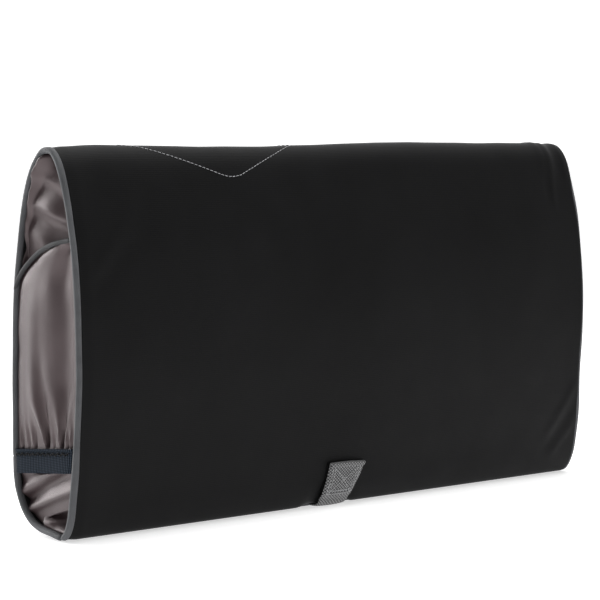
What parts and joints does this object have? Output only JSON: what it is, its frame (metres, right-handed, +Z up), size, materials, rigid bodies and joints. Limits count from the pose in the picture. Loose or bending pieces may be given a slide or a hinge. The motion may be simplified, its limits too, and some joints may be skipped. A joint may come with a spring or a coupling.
{
  "type": "changing bag",
  "caption": "Padded wrap-around changing bag that stands on a folded flap, with a stowed arm sleeve at each end and a zipped light-tight compartment inside.",
  "frame": {"origin": "middle of the length and depth of the bag, on the surface it stands on", "axes": "+X along the bag's length, front panel with the closure tab towards -Y, +Z up"},
  "size_m": [0.455, 0.0721, 0.2396],
  "materials": {
    "black_fabric": "fine horizontal rib weave, matt with a soft sheen",
    "foam": "open-cell padding foam",
    "lining": "plain taffeta",
    "binding": "rolled grey binding tape",
    "satin": "glossy taupe satin",
    "elastic": "ribbed dark slate elastic",
    "blackout": "rubber-coated opaque cloth",
    "zip_tape": "herringbone tape",
    "zip_teeth": "moulded plastic teeth",
    "zip_metal": "black painted zinc",
    "hook_and_loop": "hook-and-loop pile",
    "webbing": "coarse grey webbing with box stitching"
  },
  "bodies": {
    "bag": {"shell_outer": "black_fabric", "shell_foam": "foam", "shell_lining": "lining", "left_shell_binding": "binding", "right_shell_binding": "binding", "left_gusset": "satin", "right_gusset": "satin", "left_arm_collar": "blackout", "right_arm_collar": "blackout", "left_sleeve_root": "satin", "right_sleeve_root": "satin", "left_sleeve_piping": "binding", "right_sleeve_piping": "binding", "blackout_liner": "blackout", "left_blackout_end": "blackout", "right_blackout_end": "blackout", "outer_zip_tape_front": "zip_tape", "outer_zip_tape_back": "zip_tape", "outer_zip_teeth_front": "zip_teeth", "outer_zip_teeth_back": "zip_teeth", "inner_zip_tape_front": "zip_tape", "inner_zip_tape_back": "zip_tape", "inner_zip_teeth_front": "zip_teeth", "inner_zip_teeth_back": "zip_teeth", "loop_patch": "hook_and_loop"},
    "flap": {"flap_outer": "black_fabric", "flap_foam": "foam", "flap_lining": "lining", "left_flap_binding": "binding", "right_flap_binding": "binding", "flap_hem_binding": "binding", "tab_anchor": "webbing"},
    "tab": {"closure_tab": "webbing", "hook_patch": "hook_and_loop"},
    "left_arm_sleeve": {"left_sleeve": "satin", "left_cuff_elastic": "elastic"},
    "right_arm_sleeve": {"right_sleeve": "satin", "right_cuff_elastic": "elastic"},
    "outer_slider": {"outer_zip_slider": "zip_metal"},
    "outer_puller": {"outer_zip_puller": "zip_metal"},
    "inner_slider": {"inner_zip_slider": "zip_metal"},
    "inner_puller": {"inner_zip_puller": "zip_metal"}
  },
  "joints": [
    {"name": "flap_fold", "type": "hinge", "parent": "bag", "child": "flap", "pos_m": [0, 0.0358, 0.0352], "axis": [1, 0, 0], "range_deg": [0, 165]},
    {"name": "tab_peel", "type": "hinge", "parent": "flap", "child": "tab", "pos_m": [-0.0108, -0.0204, 0.0009], "axis": [1, 0, 0], "range_deg": [0, 65]},
    {"name": "left_sleeve_swing", "type": "hinge", "parent": "bag", "child": "left_arm_sleeve", "pos_m": [-0.226, 0, 0.1374], "axis": [0, 1, 0], "range_deg": [0, 80]},
    {"name": "right_sleeve_swing", "type": "hinge", "parent": "bag", "child": "right_arm_sleeve", "pos_m": [0.226, 0, 0.1374], "axis": [0, -1, 0], "range_deg": [0, 80]},
    {"name": "outer_zip_slide", "type": "slide", "parent": "bag", "child": "outer_slider", "axis": [1, 0, 0], "range_m": [0, 0.38]},
    {"name": "outer_puller_swing", "type": "hinge", "parent": "outer_slider", "child": "outer_puller", "pos_m": [-0.19, 0, 0.0257], "axis": [0, 1, 0], "range_deg": [-80, 80]},
    {"name": "inner_zip_slide", "type": "slide", "parent": "bag", "child": "inner_slider", "axis": [1, 0, 0], "range_m": [0, 0.38]},
    {"name": "inner_puller_swing", "type": "hinge", "parent": "inner_slider", "child": "inner_puller", "pos_m": [-0.19, 0, 0.0527], "axis": [0, 1, 0], "range_deg": [-80, 80]}
  ]
}
